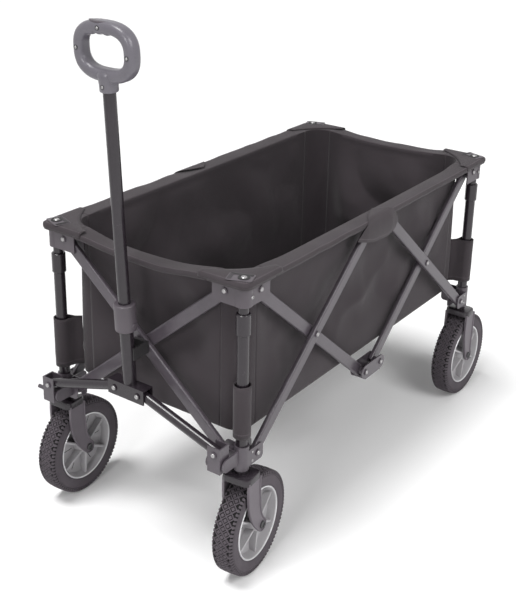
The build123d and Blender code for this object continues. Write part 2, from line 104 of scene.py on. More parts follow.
class Finish:
    """The nodes of a material, or of the world."""

    def __init__(self, name, kind=bpy.data.materials):
        self.holder = kind.new(name)
        self.holder.use_nodes = True
        self.tree = self.holder.node_tree
        self.tree.nodes.clear()

    def add(self, kind, settings=None, sockets=None, out=0):
        """Adds a node: its settings first, then the values or links of its sockets."""
        node = self.tree.nodes.new(kind)
        for key, value in (settings or {}).items():
            setattr(node, key, value)
        for key, value in (sockets or {}).items():
            if isinstance(value, Wire):
                self.tree.links.new(value.socket, node.inputs[key])
            else:
                node.inputs[key].default_value = value
        return Wire(self, node.outputs[out]) if node.outputs else None

    def speckle(self, scale, detail):
        place = self.add("ShaderNodeTexCoord", out="Object")
        return self.add("ShaderNodeTexNoise", None, {"Vector": place, "Scale": scale, "Detail": detail})

    def tone(self, share, dark, light):
        """A colour between dark and light."""
        return self.mixed(share, (*dark, 1), (*light, 1))

    def mixed(self, share, first, second):
        sockets = {"Factor": share, MIX_COLOUR_A: first, MIX_COLOUR_B: second}
        return self.add("ShaderNodeMix", {"data_type": "RGBA"}, sockets, out=MIX_COLOUR_OUT)

    def bump(self, height, strength, distance):
        sockets = {"Height": height, "Strength": strength, "Distance": distance}
        return self.add("ShaderNodeBump", None, sockets)

    def surface(self, **values):
        """Ends the tree in a Principled shader; underscores stand for spaces in socket names."""
        sockets = {key.replace("_", " "): value for key, value in values.items()}
        shader = self.add("ShaderNodeBsdfPrincipled", None, sockets)
        self.add("ShaderNodeOutputMaterial", None, {"Surface": shader})
        return self.holder


# Finishes

WEAVE_PITCH = 0.0016
STITCH_LINE = 0.0095
STITCH_HALF = 0.0007
STITCH_PITCH = 0.0042


def woven_polyester(name, dark, light):
    finish = Finish(name)
    uv = finish.add("ShaderNodeTexCoord", out="UV")
    axes = {"Vector": uv}
    along = finish.add("ShaderNodeSeparateXYZ", None, axes, out=0)
    down = finish.add("ShaderNodeSeparateXYZ", None, axes, out=1)
    weave = along.wave(WEAVE_PITCH) * down.wave(WEAVE_PITCH)
    fade = finish.speckle(9.0, 3.0)
    slub = finish.speckle(420.0, 3.0)
    stitch = (abs(down - STITCH_LINE) < STITCH_HALF) * (along % STITCH_PITCH < STITCH_PITCH * 0.62)
    shade = fade * 0.55 + slub * 0.35 + weave * 0.10
    cloth = finish.tone(shade, dark, light)
    thread = tuple(1.9 * c for c in light)
    colour = finish.mixed(stitch * 0.7, cloth, (*thread, 1))
    height = weave * 0.5 + slub * 0.6 + stitch * 1.2
    return finish.surface(
        Base_Color=colour,
        Roughness=0.66 + slub * 0.2,
        Normal=finish.bump(height, 0.35, 0.0006),
        Specular_IOR_Level=0.15,
        Sheen_Weight=0.10,
        Sheen_Roughness=0.5,
    )


def powder_coat(name, dark, light, roughness, gloss):
    finish = Finish(name)
    peel = finish.speckle(900.0, 2.0)
    cloud = finish.speckle(14.0, 3.0)
    scuff = finish.speckle(95.0, 6.0) ** 4.0
    return finish.surface(
        Base_Color=finish.tone(cloud * 0.6 + peel * 0.25 + scuff * 0.9, dark, light),
        Roughness=roughness + cloud * 0.10 + scuff * 0.3,
        Normal=finish.bump(peel, 0.04, 0.0002),
        Specular_IOR_Level=gloss,
    )


def moulded_plastic(name, dark, light, roughness, grain=0.25):
    finish = Finish(name)
    texture = finish.speckle(1500.0, 2.0)
    cloud = finish.speckle(18.0, 3.0)
    return finish.surface(
        Base_Color=finish.tone(cloud * 0.7 + texture * 0.3, dark, light),
        Roughness=roughness + texture * 0.14,
        Normal=finish.bump(texture, grain, 0.0003),
        Specular_IOR_Level=0.45,
    )


def tyre_rubber(name, dark, light):
    finish = Finish(name)
    pores = finish.speckle(1100.0, 3.0)
    dust = finish.speckle(38.0, 5.0)
    return finish.surface(
        Base_Color=finish.tone(dust * 0.8 + pores * 0.2, dark, light),
        Roughness=0.78 + dust * 0.15,
        Normal=finish.bump(pores + dust * 0.4, 0.3, 0.0004),
        Specular_IOR_Level=0.3,
    )


def bright_metal(name, dark, light, roughness):
    finish = Finish(name)
    brushed = finish.speckle(700.0, 3.0)
    tarnish = finish.speckle(160.0, 3.0)
    return finish.surface(
        Base_Color=finish.tone(brushed * 0.5 + tarnish * 0.5, dark, light),
        Roughness=roughness + tarnish * 0.2,
        Metallic=1.0,
        Normal=finish.bump(brushed, 0.1, 0.0002),
    )


tub_cloth = woven_polyester("tub_cloth", (0.027, 0.0222, 0.0250), (0.062, 0.0522, 0.0582))
frame_paint = powder_coat("frame_paint", (0.036, 0.0295, 0.0365), (0.100, 0.085, 0.101), 0.25, 0.5)
post_paint = powder_coat("post_paint", (0.0095, 0.0072, 0.0095), (0.030, 0.0235, 0.030), 0.14, 0.45)
bracket_plastic = moulded_plastic("bracket_plastic", (0.045, 0.0375, 0.0445), (0.099, 0.084, 0.098), 0.36)
fork_plastic = moulded_plastic("fork_plastic", (0.086, 0.073, 0.086), (0.158, 0.137, 0.158), 0.38)
# near-black, darker than the clip's plastic: painted shade of the crossing the clip sits in
clip_painted_shade = moulded_plastic("clip_painted_shade", (0.014, 0.013, 0.014), (0.034, 0.032, 0.034), 0.45)
grip_plastic = moulded_plastic("grip_plastic", (0.082, 0.076, 0.089), (0.160, 0.150, 0.174), 0.22)
# near-black: the colour of the cap's lines, and painted shade in the rim slits, cap recesses and grip screw
# seats
dark_inlay_and_painted_shade = moulded_plastic("dark_inlay_and_painted_shade", (0.012, 0.012, 0.012), (0.026, 0.025, 0.026), 0.60, 0.5)
rim_plastic = moulded_plastic("rim_plastic", (0.310, 0.300, 0.312), (0.470, 0.458, 0.472), 0.38)
rim_edge = bright_metal("rim_edge", (0.55, 0.55, 0.56), (0.80, 0.80, 0.81), 0.24)
tyre_foam = tyre_rubber("tyre_foam", (0.058, 0.049, 0.057), (0.114, 0.099, 0.113))
# near-black rubber for the band under the tread: painted shade in the grooves between the blocks
painted_groove_shade = tyre_rubber("painted_groove_shade", (0.004, 0.004, 0.004), (0.012, 0.011, 0.012))
zinc = bright_metal("zinc", (0.22, 0.215, 0.22), (0.46, 0.45, 0.45), 0.28)
bolt_steel = bright_metal("bolt_steel", (0.05, 0.05, 0.052), (0.14, 0.138, 0.14), 0.34)


# Mesh helpers

# Radius at the closed end of a turned profile
TIP = 0.0001


def smoothstep(low, high, value):
    share = min(max((value - low) / (high - low), 0.0), 1.0)
    return share * share * (3 - 2 * share)


def lerp(first, second, share):
    return first + (second - first) * share


def new_object(name, data):
    obj = bpy.data.objects.new(name, data)
    bpy.context.scene.collection.objects.link(obj)
    return obj


def piece(name, points, faces, finish, body, uv=None, smooth_angle=40.0):
    """A mesh in the row frame that rides on a body; one without uv is a closed solid."""
    mesh = bpy.data.meshes.new(name)
    mesh.from_pydata([tuple(p) for p in points], [], [tuple(f) for f in faces])
    if uv is None:
        shell = bmesh.new()
        shell.from_mesh(mesh)
        bmesh.ops.recalc_face_normals(shell, faces=shell.faces)
        shell.to_mesh(mesh)
        shell.free()
    else:
        layer = mesh.uv_layers.new(name="cloth")
        corner_vertex = np.empty(len(mesh.loops), int)
        mesh.loops.foreach_get("vertex_index", corner_vertex)
        layer.data.foreach_set("uv", np.asarray(uv, float)[corner_vertex].ravel())
    mesh.materials.append(finish)
    mesh.polygons.foreach_set("use_smooth", [True] * len(mesh.polygons))
    mesh.set_sharp_from_angle(angle=math.radians(smooth_angle))
    obj = new_object(name, mesh)
    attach(obj, body)
    return obj


def settle(obj):
    """Applies the modifiers of obj to its mesh."""
    bpy.context.view_layer.update()
    shaped = obj.evaluated_get(bpy.context.evaluated_depsgraph_get())
    obj.data = bpy.data.meshes.new_from_object(shaped)
    obj.modifiers.clear()


def thicken(obj, thickness):
    """Gives a cloth grid its thickness, to the side away from its normals."""
    solidify = obj.modifiers.new("cloth", "SOLIDIFY")
    solidify.thickness = thickness
    solidify.offset = -1.0
    settle(obj)


def grid_faces(rows, columns, closed=False, flip=False):
    faces = []
    for r in range(rows - 1):
        for c in range(columns if closed else columns - 1):
            d = (c + 1) % columns
            face = (r * columns + c, r * columns + d, (r + 1) * columns + d, (r + 1) * columns + c)
            faces.append(face[::-1] if flip else face)
    return faces


def tube_faces(rows, columns, ring=False):
    """Faces of rows of closed sections, capped at both ends or joined to a ring."""
    faces = grid_faces(rows, columns, closed=True)
    last = (rows - 1) * columns
    if ring:
        for c in range(columns):
            d = (c + 1) % columns
            faces.append((last + c, last + d, d, c))
    else:
        faces.append(tuple(range(columns))[::-1])
        faces.append(tuple(range(last, last + columns)))
    return faces


def lathe(profile, centre, axis, segments, ring=False):
    """Turns (axial, radius) points round an axis, closed at both ends or joined end to end."""
    centre = Vector(centre)
    axis = Vector(axis).normalized()
    side = axis.orthogonal().normalized()
    other = axis.cross(side)
    points = []
    for axial, radius in profile:
        for k in range(segments):
            turn = 2 * math.pi * k / segments
            points.append(centre + axis * axial + (side * math.cos(turn) + other * math.sin(turn)) * radius)
    return points, tube_faces(len(profile), segments, ring)


def joined(*parts):
    """One list of points and one of faces from several."""
    points, faces = [], []
    for more_points, more_faces in parts:
        start = len(points)
        points.extend(more_points)
        faces.extend(tuple(start + k for k in face) for face in more_faces)
    return points, faces


def sweep(count, section, ring=False):
    """Joins the closed sections that a function gives for each of count indices."""
    rows = [section(k) for k in range(count)]
    points = [p for row in rows for p in row]
    return points, tube_faces(count, len(rows[0]), ring)


def moulded(name, parts, finish, body, node=None, smooth_angle=45.0):
    """One piece from several closed parts, in place of a solid where its node is named."""
    points, faces = joined(*parts)
    obj = piece(name, points, faces, finish, body, smooth_angle=smooth_angle)
    if node:
        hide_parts(node)


def outline_prism(outline, origin, across, up, out, height, edge):
    """A moulded plate: an outline in the plane of across and up, raised with a rounded edge."""
    centre = (sum(u for u, _ in outline) / len(outline), sum(v for _, v in outline) / len(outline))

    def ring(inset, lift):
        points = []
        for u, v in outline:
            reach = math.hypot(u - centre[0], v - centre[1])
            keep = max(reach - inset, 0.0) / max(reach, 1e-9)
            u2 = centre[0] + (u - centre[0]) * keep
            v2 = centre[1] + (v - centre[1]) * keep
            points.append(origin + across * u2 + up * v2 + out * lift)
        return points

    steps = ((0, 0), (0, height - edge), (edge * 0.3, height - edge * 0.3), (edge, height))
    return sweep(len(steps), lambda k: ring(*steps[k]))


def arc(x0, y0, radius, turns):
    """Points on a circle, one for each turn."""
    return [(x0 + radius * math.cos(t), y0 + radius * math.sin(t)) for t in turns]


def rounded_box(half_u, half_v, radius, steps=5):
    """Outline of a box with rounded corners."""
    outline = []
    for su, sv, start in ((1, 1, 0), (-1, 1, 90), (-1, -1, 180), (1, -1, 270)):
        turns = [math.radians(start + 90 * k / steps) for k in range(steps + 1)]
        outline += arc(su * (half_u - radius), sv * (half_v - radius), radius, turns)
    return outline


def mirrored(half):
    """An outline with its other half, on the far side of the middle."""
    return half + [(-a, b) for a, b in half[::-1]]


# Sizes of the CAD that the pieces below follow, in metres

POST_X = 0.220
POST_Y = 0.440
WALL_X = 0.202
WALL_Y = 0.422
TUB_LOW = 0.2920
LEDGE_Z = 0.5994
RIM_Z = 0.5997
CLOTH = 0.0017
SEAM_IN = 0.062
SEAM_X = POST_X - SEAM_IN
SEAM_Y = POST_Y - SEAM_IN
CAP_OUT = 0.019
BAR_PIVOT_X = 0.190
HUB_PIVOT_Y = 0.030
CORNER_PIVOT_Y = 0.410
TOP_Z = 0.578
BOTTOM_Z = 0.256
CROSSING_Y = 0.220
CROSSING_Z = 0.417
WING_OUT = 0.0140
CORNER_LOW = 0.034
CORNER_HIGH = 0.044
FOLDED_X = 0.16545
FOLDED_Y = 0.33090
KEEP_X = (FOLDED_X - 2 * SEAM_IN) / (2 * SEAM_X)
KEEP_Y = (FOLDED_Y - 2 * SEAM_IN) / (2 * SEAM_Y)
WHEEL_R = 0.102
CORNERS = {"front_right": (1, -1), "front_left": (-1, -1), "rear_right": (1, 1), "rear_left": (-1, 1)}
UP = Vector((0, 0, 1))


# Tub

WALL_ROWS = 46
FLARE_ROWS = 12
LONG_COLUMNS = 121
END_COLUMNS = 61
FOLD_DEPTH = 0.0150
FOLDS_FROM = 0.40
FLUTTER = 0.0014
WALL_LEAN = 0.0045
LIP = ((0.0014, -0.0004), (0.0022, -0.0024), (0.0020, -0.0052), (0.0014, -0.0082))
UNDER = ((-0.014, -0.0062), (-0.004, -0.0062), (-0.0006, -0.0048))


def corner_radius(z):
    return lerp(CORNER_LOW, CORNER_HIGH, smoothstep(TUB_LOW, LEDGE_Z, z) ** 1.4)


def inset(along, half, z):
    """How far the rounded corner pulls a wall in, at a place along it."""
    radius = corner_radius(z)
    reach = abs(along) - (half - radius)
    return 0.0 if reach <= 0 else radius - math.sqrt(max(radius**2 - reach**2, 0.0))


def ripple(seed, along, z, amount):
    """Soft hanging folds: broad waves and a few slanting creases."""
    broad = noise.noise(Vector((along * 5.0, z * 7.0, seed)))
    slant = noise.noise(Vector((along * 11.0 + z * 9.0, z * 3.0 - along * 2.0, seed + 7.3)))
    fine = noise.noise(Vector((along * 30.0, z * 26.0, seed + 3.1)))
    crease = abs(noise.noise(Vector((along * 5.2 + z * 2.4, z * 5.6 - along * 1.6, seed + 1.9))))
    return amount * (0.9 * broad + 0.7 * slant + 0.12 * fine - 2.2 * crease - 0.20)


class Wall(namedtuple("WallSizes", "name seam plane corner_half rim_mid sag seed")):
    """One wall of the tub, between the seams of its corner panels."""

    def rim(self, along):
        """Outward place and height of the rim."""
        bow = 1 - (along / self.seam) ** 2
        out = lerp(self.plane + (POST_X - WALL_X) + CAP_OUT, self.rim_mid, smoothstep(0.0, 0.55, bow))
        return out, RIM_Z - self.sag * bow

    def turn(self, along):
        """Height at which the wall turns out to the rim, over the bars."""
        flat = smoothstep(self.seam - 0.10, self.seam, abs(along))
        return self.rim(along)[1] - lerp(0.0022, 0.0003, flat)

    def column(self, along):
        """(outward, height) pairs up the wall, over the ledge and down the lip."""
        top = self.turn(along)
        edge = smoothstep(0.0, 0.07, self.seam - abs(along))
        pairs = [(self.plane + out, TUB_LOW + dz) for out, dz in UNDER]
        for r in range(WALL_ROWS):
            share = r / (WALL_ROWS - 1)
            z = lerp(TUB_LOW, top, share)
            hang = math.sin(math.pi * min(share * 1.05, 1.0)) ** 0.7
            free = hang * edge * smoothstep(TUB_LOW, FOLDS_FROM, z)
            fold = ripple(self.seed, along, z, FOLD_DEPTH) * free
            lean = WALL_LEAN * smoothstep(0.0, 0.3, share) * edge
            pairs.append((self.plane - inset(along, self.corner_half, z) + lean + min(fold, 0.0), z))
        start_out = pairs[-1][0]
        rim_out, rim_z = self.rim(along)
        for r in range(1, FLARE_ROWS + 1):
            turn = 0.5 * math.pi * r / FLARE_ROWS
            flutter = ripple(self.seed + 5, along * 1.6, 0.3, FLUTTER) * math.sin(turn) ** 2 * edge
            out = lerp(start_out, rim_out, 1 - math.cos(turn))
            pairs.append((out, lerp(top, rim_z, math.sin(turn)) + min(flutter, 0.0)))
        tip_out, tip_z = pairs[-1]
        pairs.extend((tip_out + out, tip_z + dz) for out, dz in LIP)
        return pairs


def run_along(path):
    """Distance along a path of (u, v), at each of its points."""
    run = [0.0]
    for (a, b), (c, d) in zip(path[:-1], path[1:]):
        run.append(run[-1] + math.hypot(c - a, d - b))
    return run


def grid_area(points, faces):
    """Area of a grid of four-cornered faces, to a square centimetre."""
    places = np.asarray([tuple(p) for p in points], float)
    a, b, c, d = (places[[face[k] for face in faces]] for k in range(4))
    return round(float(np.linalg.norm(np.cross(c - a, d - b), axis=1).sum() / 2), 4)


def cloth_piece(name, points, faces, uv, body):
    """A piece of the tub's cloth, in place of the solid tub."""
    obj = piece(name, points, faces, tub_cloth, body, uv, smooth_angle=70.0)
    thicken(obj, CLOTH)
    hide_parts("tub_bag")
    return obj


def make_wall(wall, columns, to_point, flip, body, axis, anchor, keep):
    """A wall of the tub."""
    points, uv = [], []
    for c in range(columns):
        along = lerp(-wall.seam, wall.seam, c / (columns - 1))
        pairs = wall.column(along)
        run = run_along(pairs)
        points.append([to_point(out, along, z) for out, z in pairs])
        uv.append([(along, run[-1] - r) for r in run])
    faces = grid_faces(len(points[0]), columns, flip=flip)
    points = [p for row in zip(*points) for p in row]
    uv = [p for row in zip(*uv) for p in row]
    obj = cloth_piece(wall.name, points, faces, uv, body)
    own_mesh(obj)
    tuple(axis)
    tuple(anchor)


right_wall = Wall("tub_wall_right", SEAM_Y, WALL_X, WALL_Y, 0.2370, 0.0015, 1.7)
left_wall = Wall("tub_wall_left", SEAM_Y, WALL_X, WALL_Y, 0.2400, 0.0010, 4.2)
front_wall = Wall("tub_wall_front", SEAM_X, WALL_Y, WALL_X, 0.4560, 0.012, 8.9)
rear_wall = Wall("tub_wall_rear", SEAM_X, WALL_Y, WALL_X, 0.4560, 0.008, 12.4)
LONG_FOLD = ((0, 1, 0), (0, -SEAM_Y, 0.4), KEEP_Y)
END_FOLD = ((1, 0, 0), (SEAM_X, 0, 0.4), KEEP_X)
make_wall(right_wall, LONG_COLUMNS, lambda o, a, z: (o, a, z), False, "upper_front_right", *LONG_FOLD)
make_wall(left_wall, LONG_COLUMNS, lambda o, a, z: (-o, a, z), True, "upper_front_left", *LONG_FOLD)
make_wall(front_wall, END_COLUMNS, lambda o, a, z: (a, -o, z), False, "upper_front_right", *END_FOLD)
make_wall(rear_wall, END_COLUMNS, lambda o, a, z: (a, o, z), True, "upper_rear_right", *END_FOLD)


def spaced(path, count):
    """Points at equal steps along a path of (x, y)."""
    path = np.asarray(path, float)
    run = np.concatenate([[0], np.cumsum(np.hypot(*np.diff(path, axis=0).T))])
    places = np.linspace(0, run[-1], count)
    return np.stack([np.interp(places, run, path[:, k]) for k in range(2)], 1), run[-1]


def corner_path(z):
    """The inner corner of the tub at a height, from the long wall's seam to the end wall's."""
    radius = corner_radius(z)
    x0 = WALL_X - radius
    y0 = WALL_Y - radius
    low = math.asin(min(max((SEAM_Y - y0) / radius, 0.0), 1.0))
    high = math.acos(min(max((SEAM_X - x0) / radius, 0.0), 1.0))
    bend = arc(x0, y0, radius, np.linspace(low, high, 40))
    return [(bend[0][0], SEAM_Y), *bend, (SEAM_X, bend[-1][1])]


CORNER_COLUMNS = 41
CAP_X = POST_X + CAP_OUT
CAP_Y = POST_Y + CAP_OUT
CAP_RADIUS = 0.013


def cap_path():
    """The outer edge of a corner cap."""
    turns = np.linspace(0, math.pi / 2, 12)
    bend = arc(CAP_X - CAP_RADIUS, CAP_Y - CAP_RADIUS, CAP_RADIUS, turns)
    return [(CAP_X, SEAM_Y), *bend, (SEAM_X, CAP_Y)]


def outward(path):
    """Unit steps away from a path of (x, y), at each of its points."""
    away = np.stack([np.gradient(path[:, 1]), -np.gradient(path[:, 0])], 1)
    return away / np.linalg.norm(away, axis=1, keepdims=True)


def make_corner(name, sx, sy):
    """Corner panel of the tub with its cap over the upper bracket."""
    outer, outer_run = spaced(cap_path(), CORNER_COLUMNS)
    foot, _ = spaced(corner_path(TUB_LOW), CORNER_COLUMNS)
    pull = foot - np.array([SEAM_X, SEAM_Y])
    pull /= np.maximum(np.linalg.norm(pull, axis=1, keepdims=True), 1e-6)
    rings = [(foot + pull * out, TUB_LOW + dz) for out, dz in UNDER]
    for r in range(WALL_ROWS):
        z = lerp(TUB_LOW, LEDGE_Z, r / (WALL_ROWS - 1))
        rings.append((spaced(corner_path(z), CORNER_COLUMNS)[0], z))
    inner = rings[-1][0]
    for r in range(1, FLARE_ROWS + 1):
        turn = 0.5 * math.pi * r / FLARE_ROWS
        rings.append((inner + (outer - inner) * (1 - math.cos(turn)), lerp(LEDGE_Z, RIM_Z, math.sin(turn))))
    away = outward(outer)
    rings += [(outer + away * out, RIM_Z + dz) for out, dz in LIP]
    drops = [np.zeros(CORNER_COLUMNS)]
    for (a, za), (b, zb) in zip(rings[:0:-1], rings[-2::-1]):
        drops.append(drops[-1] + np.sqrt(((b - a) ** 2).sum(1) + (zb - za) ** 2))
    points = [(sx * x, sy * y, z) for path, z in rings for x, y in path]
    uv = [(outer_run * c / CORNER_COLUMNS, d) for drop in drops[::-1] for c, d in enumerate(drop)]
    faces = grid_faces(len(rings), CORNER_COLUMNS, flip=sx * sy < 0)
    obj = cloth_piece("tub_corner_" + name, points, faces, uv, "upper_" + name)
    area = grid_area(points, faces)


DECK_LEG = 0.081
DECK_END = 0.013
DECK_COLUMNS = 49
DECK_ROWS = 9
DECK_TOP = RIM_Z + 0.0022
DECK_CROWN = 0.0010
DECK_BOW = 0.007
DECK_ROW_STEP = 0.0028
DECK_LIP = ((0.0026, -0.0014), (0.0030, -0.0040), (0.0028, -0.0072))


def make_deck(name, sx, sy):
    """Three-cornered cloth deck sewn over a corner, from rim to rim."""
    end_x = POST_X - DECK_LEG
    end_y = POST_Y - DECK_LEG
    outer, run = spaced([(CAP_X, end_y), *cap_path(), (end_x, CAP_Y)], DECK_COLUMNS)
    share = np.linspace(0, 1, DECK_COLUMNS)[:, None]
    inner = np.array([CAP_X - DECK_END, end_y]) * (1 - share) + np.array([end_x, CAP_Y - DECK_END]) * share
    inner += DECK_BOW * np.sin(math.pi * share)
    away = outward(outer)
    rings = []
    for v in np.linspace(0, 1, DECK_ROWS):
        rings.append((inner + (outer - inner) * v, DECK_TOP + DECK_CROWN * math.sin(math.pi * v)))
    rings += [(outer + away * out, DECK_TOP + dz) for out, dz in DECK_LIP]
    points = [(sx * x, sy * y, z) for path, z in rings for x, y in path]
    drops = [DECK_ROW_STEP * k for k in range(len(rings))]
    uv = [(run * c / DECK_COLUMNS, drop) for drop in drops[::-1] for c in range(DECK_COLUMNS)]
    faces = grid_faces(len(rings), DECK_COLUMNS, flip=sx * sy < 0)
    obj = cloth_piece("tub_deck_" + name, points, faces, uv, "upper_" + name)
    area = grid_area(points, faces)


SLEEVE_R = 0.0162
SLEEVE_LOW = 0.300
SLEEVE_HIGH = 0.403
SLEEVE_ROWS = 16
SLEEVE_STEPS = 28
SLEEVE_OPEN = 40
SLEEVE_WAVER = 0.0016
SLEEVE_RUCK = 0.045
SLEEVE_TAIL = ((0.020, -0.0064), (0.0245, -0.0034), (0.030, -0.0026), (0.0395, -0.0025))


def make_sleeve(name, sx, sy):
    """Loop of cloth round a post, sewn flat to the corner panel."""
    inward = Vector((-sx, -sy, 0)).normalized()
    side = Vector((inward.y, -inward.x, 0))
    centre = Vector((sx * POST_X, sy * POST_Y, 0))
    wrap = 360 - 2 * SLEEVE_OPEN
    turns = [math.radians(SLEEVE_OPEN + wrap * k / SLEEVE_STEPS) for k in range(SLEEVE_STEPS + 1)]
    plan = arc(0, 0, SLEEVE_R, turns)
    plan.extend(SLEEVE_TAIL)
    plan.extend((u, -v) for u, v in SLEEVE_TAIL[::-1])
    run = run_along(plan)
    points, uv = [], []
    for r in range(SLEEVE_ROWS):
        share = r / (SLEEVE_ROWS - 1)
        z = lerp(SLEEVE_LOW, SLEEVE_HIGH, share)
        waver = SLEEVE_WAVER if r in (0, SLEEVE_ROWS - 1) else 0.0
        for k, (u, v) in enumerate(plan):
            ruck = 1 + SLEEVE_RUCK * max(noise.noise(Vector((u * 60 + sx, v * 60 + sy, z * 32))), 0.0)
            lift = waver * noise.noise(Vector((u * 40, v * 40 + sx, share * 2 + sy)))
            points.append(centre + inward * (u * ruck) + side * (v * ruck) + UP * (z + lift))
            uv.append((run[k], z - SLEEVE_LOW))
    faces = grid_faces(SLEEVE_ROWS, len(plan), closed=True, flip=True)
    obj = cloth_piece("tub_sleeve_" + name, points, faces, uv, "upper_" + name)


FLAP_ENDS = (-0.104, 0.052)
FLAP_TOP_AT = (0.0, 0.12, 0.30, 0.45, 0.645, 0.80, 0.92, 1.0)
FLAP_TOP = (-0.029, -0.012, 0.004, 0.016, 0.027, 0.010, -0.010, -0.023)
FLAP_LOW_AT = (0.0, 0.35, 0.75, 0.93, 1.0)
FLAP_LOW = (-0.0295, -0.046, -0.052, -0.042, -0.031)
FLAP_ROWS = 31
FLAP_COLUMNS = 61
FLAP_HANG = 0.056
FLAP_RIPPLE = 0.0010
FLAP_BELLY = 0.0046
FLAP_STAND = 0.0046
FLAP_RISE = 0.0044


def make_flap(name, sx, wall):
    """Leaf of cloth sewn over the rim at a top hub, with its long point to the handle end."""
    points, uv = [], []
    for r in range(FLAP_ROWS):
        for c in range(FLAP_COLUMNS):
            a = c / (FLAP_COLUMNS - 1)
            upper = float(np.interp(a, FLAP_TOP_AT, FLAP_TOP))
            lower = float(np.interp(a, FLAP_LOW_AT, FLAP_LOW))
            reach = lerp(upper, lower, r / (FLAP_ROWS - 1))
            along = lerp(*FLAP_ENDS, a)
            rim_out, rim_z = wall.rim(along)
            bend = smoothstep(-0.006, 0.006, reach)
            hang = min(max(-reach / FLAP_HANG, 0.0), 1.0)
            belly = FLAP_BELLY * math.sin(math.pi * hang**0.8) * min(1.0, 5 * a, 5 * (1 - a))
            out = rim_out + FLAP_STAND * (1 - bend) + belly - max(reach, 0.0)
            z = rim_z + FLAP_RISE * bend + min(reach, 0.0)
            out += ripple(20.0 + sx, along * 2, z * 2, FLAP_RIPPLE) * (1 - bend)
            points.append((sx * out, along, z))
            uv.append((along, reach - lower + 0.003))
    faces = grid_faces(FLAP_ROWS, FLAP_COLUMNS, flip=sx > 0)
    obj = cloth_piece("tub_flap_" + name, points, faces, uv, "mid_top_" + name)
    area = grid_area(points, faces)


for corner_name, (corner_sx, corner_sy) in CORNERS.items():
    make_corner(corner_name, corner_sx, corner_sy)
    make_deck(corner_name, corner_sx, corner_sy)
    make_sleeve(corner_name, corner_sx, corner_sy)
make_flap("right", 1, right_wall)
make_flap("left", -1, left_wall)


FLOOR_ROWS = 22
FLOOR_COLUMNS = 81
FLOOR_SIDE_GAP = 0.0040
FLOOR_END_GAP = 0.0006
FLOOR_START = 0.0030
FLOOR_DIP = 0.0009
FLOOR_TOP = -0.0004
FLOOR_THICK = 0.0030
FLOOR_UV = 0.6
FLOOR_DRAWN = 0.015
FLOOR_HEM = ((0.0050, -0.0078), (0.0018, -0.0074), (0.0003, -0.0056), (0.0001, -0.0022), (0.0012, -0.0006))


def make_floor(name, sx):
    """Half of the tub's floor, a lined board that dips between its edges and turns down at the middle."""
    low, high = (Vector(corner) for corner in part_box("tub_floor_" + name))
    far = max(abs(low.x), abs(high.x)) - FLOOR_SIDE_GAP
    end = max(abs(low.y), abs(high.y)) - FLOOR_END_GAP
    across = [lerp(-end, end, c / (FLOOR_COLUMNS - 1)) for c in range(FLOOR_COLUMNS)]
    points, uv = [], []
    for x, drop in FLOOR_HEM:
        points.extend((sx * x, y, high.z + drop) for y in across)
        uv.extend((drop, y + FLOOR_UV) for y in across)
    for r in range(FLOOR_ROWS):
        share = r / (FLOOR_ROWS - 1)
        for y in across:
            reach = max(abs(y) - (end - CORNER_LOW), 0.0)
            widest = far - (CORNER_LOW - math.sqrt(max(CORNER_LOW**2 - reach**2, 0.0)))
            x = lerp(FLOOR_START, widest, share)
            dip = FLOOR_DIP * noise.noise(Vector((x * 14, y * 9, sx))) * math.sin(math.pi * share)
            points.append((sx * x, y, high.z + FLOOR_TOP + min(dip, 0.0)))
            uv.append((x, y + FLOOR_UV))
    faces = grid_faces(FLOOR_ROWS + len(FLOOR_HEM), FLOOR_COLUMNS, flip=sx < 0)
    obj = piece("tub_floor_panel_" + name, points, faces, tub_cloth, "floor_" + name, uv)
    thicken(obj, FLOOR_THICK)
    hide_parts("tub_floor_" + name)
    keep = (FOLDED_Y - 2 * (POST_Y - end) - 2 * FLOOR_DRAWN) / (2 * end)
    FLOOR_DRAWN / (1 - keep) - end
    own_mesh(obj)
    round(2 * end, 3)


make_floor("right", 1)
make_floor("left", -1)


# Wheels

CASTER_TURN = {"front_left": 2.5, "front_right": 6.0}
TREAD_PITCHES = 41
TREAD_STEP = 0.0078
TREAD_COLUMNS = 3
TREAD_LOW = 0.0975
TREAD_EDGE = 0.0176
TREAD_HALF = 0.0041
TREAD_CROWN = 0.0012
RIDGE = ((-0.0017, TREAD_LOW), (-0.0013, WHEEL_R - 0.0003), (0.0013, WHEEL_R - 0.0003), (0.0017, TREAD_LOW))
TYRE_HALF = 0.0205
TYRE_SEGMENTS = 120
TYRE_SMOOTH = 34.0
SEAT_R = 0.0715


def wheel_frame(name):
    """Centre and axle of a wheel; the front casters stand turned a little."""
    low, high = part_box("tyre_" + name)
    centre = (Vector(low) + Vector(high)) / 2
    turn = math.radians(CASTER_TURN.get(name, 0.0))
    axle = Vector((math.cos(turn), math.sin(turn), 0))
    return centre, axle


def on_wheel(centre, axle, radius, turn, axial):
    """A place on a wheel, from its radius, turn and place along the axle."""
    fore = UP.cross(axle)
    return centre + axle * axial + (fore * math.cos(turn) + UP * math.sin(turn)) * radius


def crowned(radius, axial):
    """A radius of the tread, which falls towards the tyre's edges."""
    return radius - TREAD_CROWN * (axial / TYRE_HALF) ** 2


def tread_block(centre, axle, turn, middle):
    """A diamond of the tread, raised with a drafted side."""
    outline = ((-TREAD_HALF, 0.0), (0.0, -TREAD_HALF), (TREAD_HALF, 0.0), (0.0, TREAD_HALF))
    points = []
    for radius, keep in ((TREAD_LOW, 1.06), (WHEEL_R - 0.0008, 1.0), (WHEEL_R - 0.0002, 0.88)):
        for axial, shift in outline:
            a = middle + axial * keep
            points.append(on_wheel(centre, axle, crowned(radius, a), turn + shift * keep / WHEEL_R, a))
    return points, tube_faces(3, 4)


